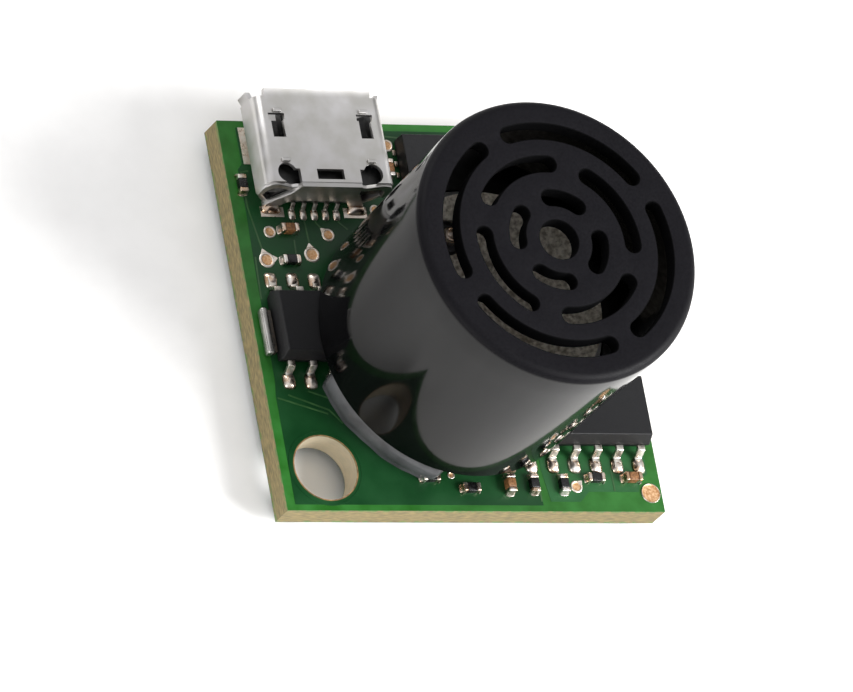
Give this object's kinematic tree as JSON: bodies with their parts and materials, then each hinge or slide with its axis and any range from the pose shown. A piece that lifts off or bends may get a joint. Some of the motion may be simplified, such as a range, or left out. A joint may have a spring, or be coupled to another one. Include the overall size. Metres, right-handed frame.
{
  "type": "ultrasonic distance sensor",
  "caption": "Board-mounted ultrasonic distance sensor: round grilled transducer on a square circuit board with a micro-USB socket and corner mounting holes.",
  "frame": {"origin": "midway between the two diagonal mounting holes, on the board's back face", "axes": "+Z out of the transducer face, square to the board; +Y towards the edge that the micro-USB mouth faces; +X right when looking at the component side with the USB socket at the top"},
  "size_m": [0.022, 0.0227, 0.0169],
  "materials": {
    "laminate": "glass-epoxy laminate, sawn and routed edges",
    "solder_mask": "green solder mask, satin gloss",
    "gold_pad": "bare plated copper",
    "solder": "bright reflowed solder",
    "tinned_lead": "tin-plated lead frame",
    "chip_epoxy": "black moulding compound",
    "resistor_ceramic": "black glazed alumina",
    "capacitor_ceramic": "brown barium-titanate ceramic",
    "resonator_metal": "drawn nickel-silver can",
    "usb_steel": "nickel-plated stamped steel",
    "usb_plastic": "black liquid-crystal polymer",
    "housing_plastic": "black glossy moulded plastic, satin front face",
    "base_plastic": "black moulded plastic",
    "cone_metal": "matt etched aluminium",
    "bender_metal": "rolled brass",
    "piezo_ceramic": "fired ceramic with silvered faces",
    "silicone": "cured silicone",
    "adhesive": "grey translucent adhesive",
    "wire": "bare tinned copper wire"
  },
  "bodies": {
    "root": {"circuit_board": "laminate", "solder_mask_top": "solder_mask", "solder_mask_back": "solder_mask", "round_pads": "gold_pad", "left_chip_body": "chip_epoxy", "left_chip_leads": "tinned_lead", "left_chip_solder": "solder", "right_chip_body": "chip_epoxy", "right_chip_leads": "tinned_lead", "right_chip_solder": "solder", "flat_chip_body": "chip_epoxy", "flat_chip_pads": "solder", "resonator_can": "resonator_metal", "resonator_base": "base_plastic", "chip_resistors": "resistor_ceramic", "chip_capacitors": "capacitor_ceramic", "passive_end_caps": "solder", "passive_solder": "solder", "usb_shell": "usb_steel", "usb_spring_fingers": "usb_steel", "usb_insulator": "usb_plastic", "usb_contacts": "gold_pad", "usb_contact_solder": "solder", "usb_pads": "gold_pad", "usb_foot_solder": "solder", "transducer_housing": "housing_plastic", "transducer_base": "base_plastic", "support_ring": "base_plastic", "silicone_seal": "silicone", "bender_plate": "bender_metal", "piezo_disc": "piezo_ceramic", "cone_resonator": "cone_metal", "terminal_posts": "base_plastic", "terminal_pins": "tinned_lead", "terminal_solder": "solder", "back_solder_joints": "solder", "lead_wires": "wire", "adhesive_bead": "adhesive"}
  },
  "joints": []
}
